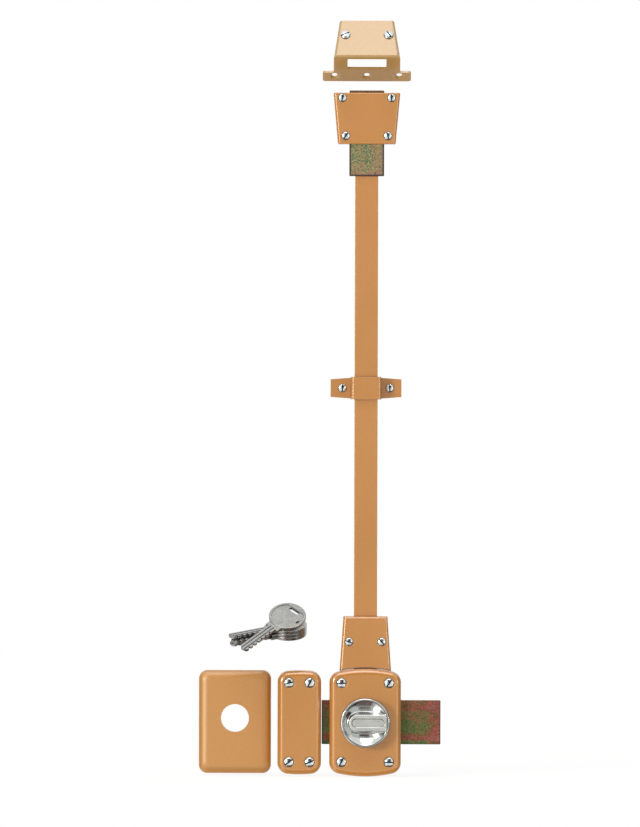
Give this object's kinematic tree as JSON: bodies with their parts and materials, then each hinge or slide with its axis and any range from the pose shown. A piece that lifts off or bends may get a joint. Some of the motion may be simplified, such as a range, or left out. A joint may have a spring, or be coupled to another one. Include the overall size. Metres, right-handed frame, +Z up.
{
  "type": "multipoint rim lock",
  "caption": "Surface-mounted rim lock: a turn knob throws a flat side bolt towards its strike and lifts a long rod with a top bolt towards a slotted keeper.",
  "frame": {"origin": "centre of the case's screw pattern on the door plane, on the knob's axis", "axes": "+Z up the door along the rod, front towards -Y, +X to the right from the front"},
  "size_m": [0.2086, 0.0995, 0.6523],
  "materials": {
    "paint": "semi-gloss metallic gold-brown enamel",
    "screw_heads": "bright zinc plated",
    "dichromate": "yellow chromate over zinc",
    "zinc_steel": "zinc plated",
    "spring_steel": "blued",
    "chrome": "satin to bright chrome",
    "brass": "turned brass",
    "nickel": "nickel silver"
  },
  "bodies": {
    "lock": {"back_plate": "zinc_steel", "bolt_spring": "spring_steel", "case_cover": "paint", "case_screws": "screw_heads", "cylinder_body": "brass", "cylinder_screws": "zinc_steel", "driver_pins": "brass", "pin_springs": "spring_steel", "key_1": "nickel", "key_2": "nickel", "key_3": "nickel", "key_4": "nickel", "knob_bush": "brass", "link_cover": "paint", "link_cover_screws": "screw_heads", "outer_plate": "paint", "rod_guide": "paint", "rod_guide_screws": "screw_heads", "side_strike_base": "zinc_steel", "side_strike_cover": "paint", "side_strike_screws": "screw_heads", "top_guide_base": "zinc_steel", "top_guide_cover": "paint", "top_guide_screws": "screw_heads", "top_strike": "paint", "top_strike_screws": "screw_heads"},
    "drive": {"knob": "chrome", "knob_grub_screw": "zinc_steel", "drive_shaft": "zinc_steel", "cylinder_plug": "brass", "plug_clip": "spring_steel", "key_pins": "brass", "tailpiece": "zinc_steel"},
    "side_bolt": {"side_bolt": "dichromate"},
    "rod": {"rod": "paint", "rod_slider": "zinc_steel", "link_screws": "zinc_steel", "top_bolt": "dichromate", "top_bolt_pins": "zinc_steel"}
  },
  "joints": [
    {"name": "knob_turn", "type": "hinge", "parent": "lock", "child": "drive", "pos_m": [0, -0.03, 0], "axis": [0, -1, 0], "range_deg": [0, 360]},
    {"name": "side_bolt_slide", "type": "slide", "parent": "lock", "child": "side_bolt", "axis": [-1, 0, 0], "range_m": [0, 0.02513]},
    {"name": "rod_slide", "type": "slide", "parent": "lock", "child": "rod", "axis": [0, 0, 1], "range_m": [0, 0.03142]}
  ],
  "couplings": [
    {"joint": "knob_turn", "follows": "rod_slide", "rad_per_m": 200},
    {"joint": "side_bolt_slide", "follows": "rod_slide", "ratio": 0.8}
  ]
}
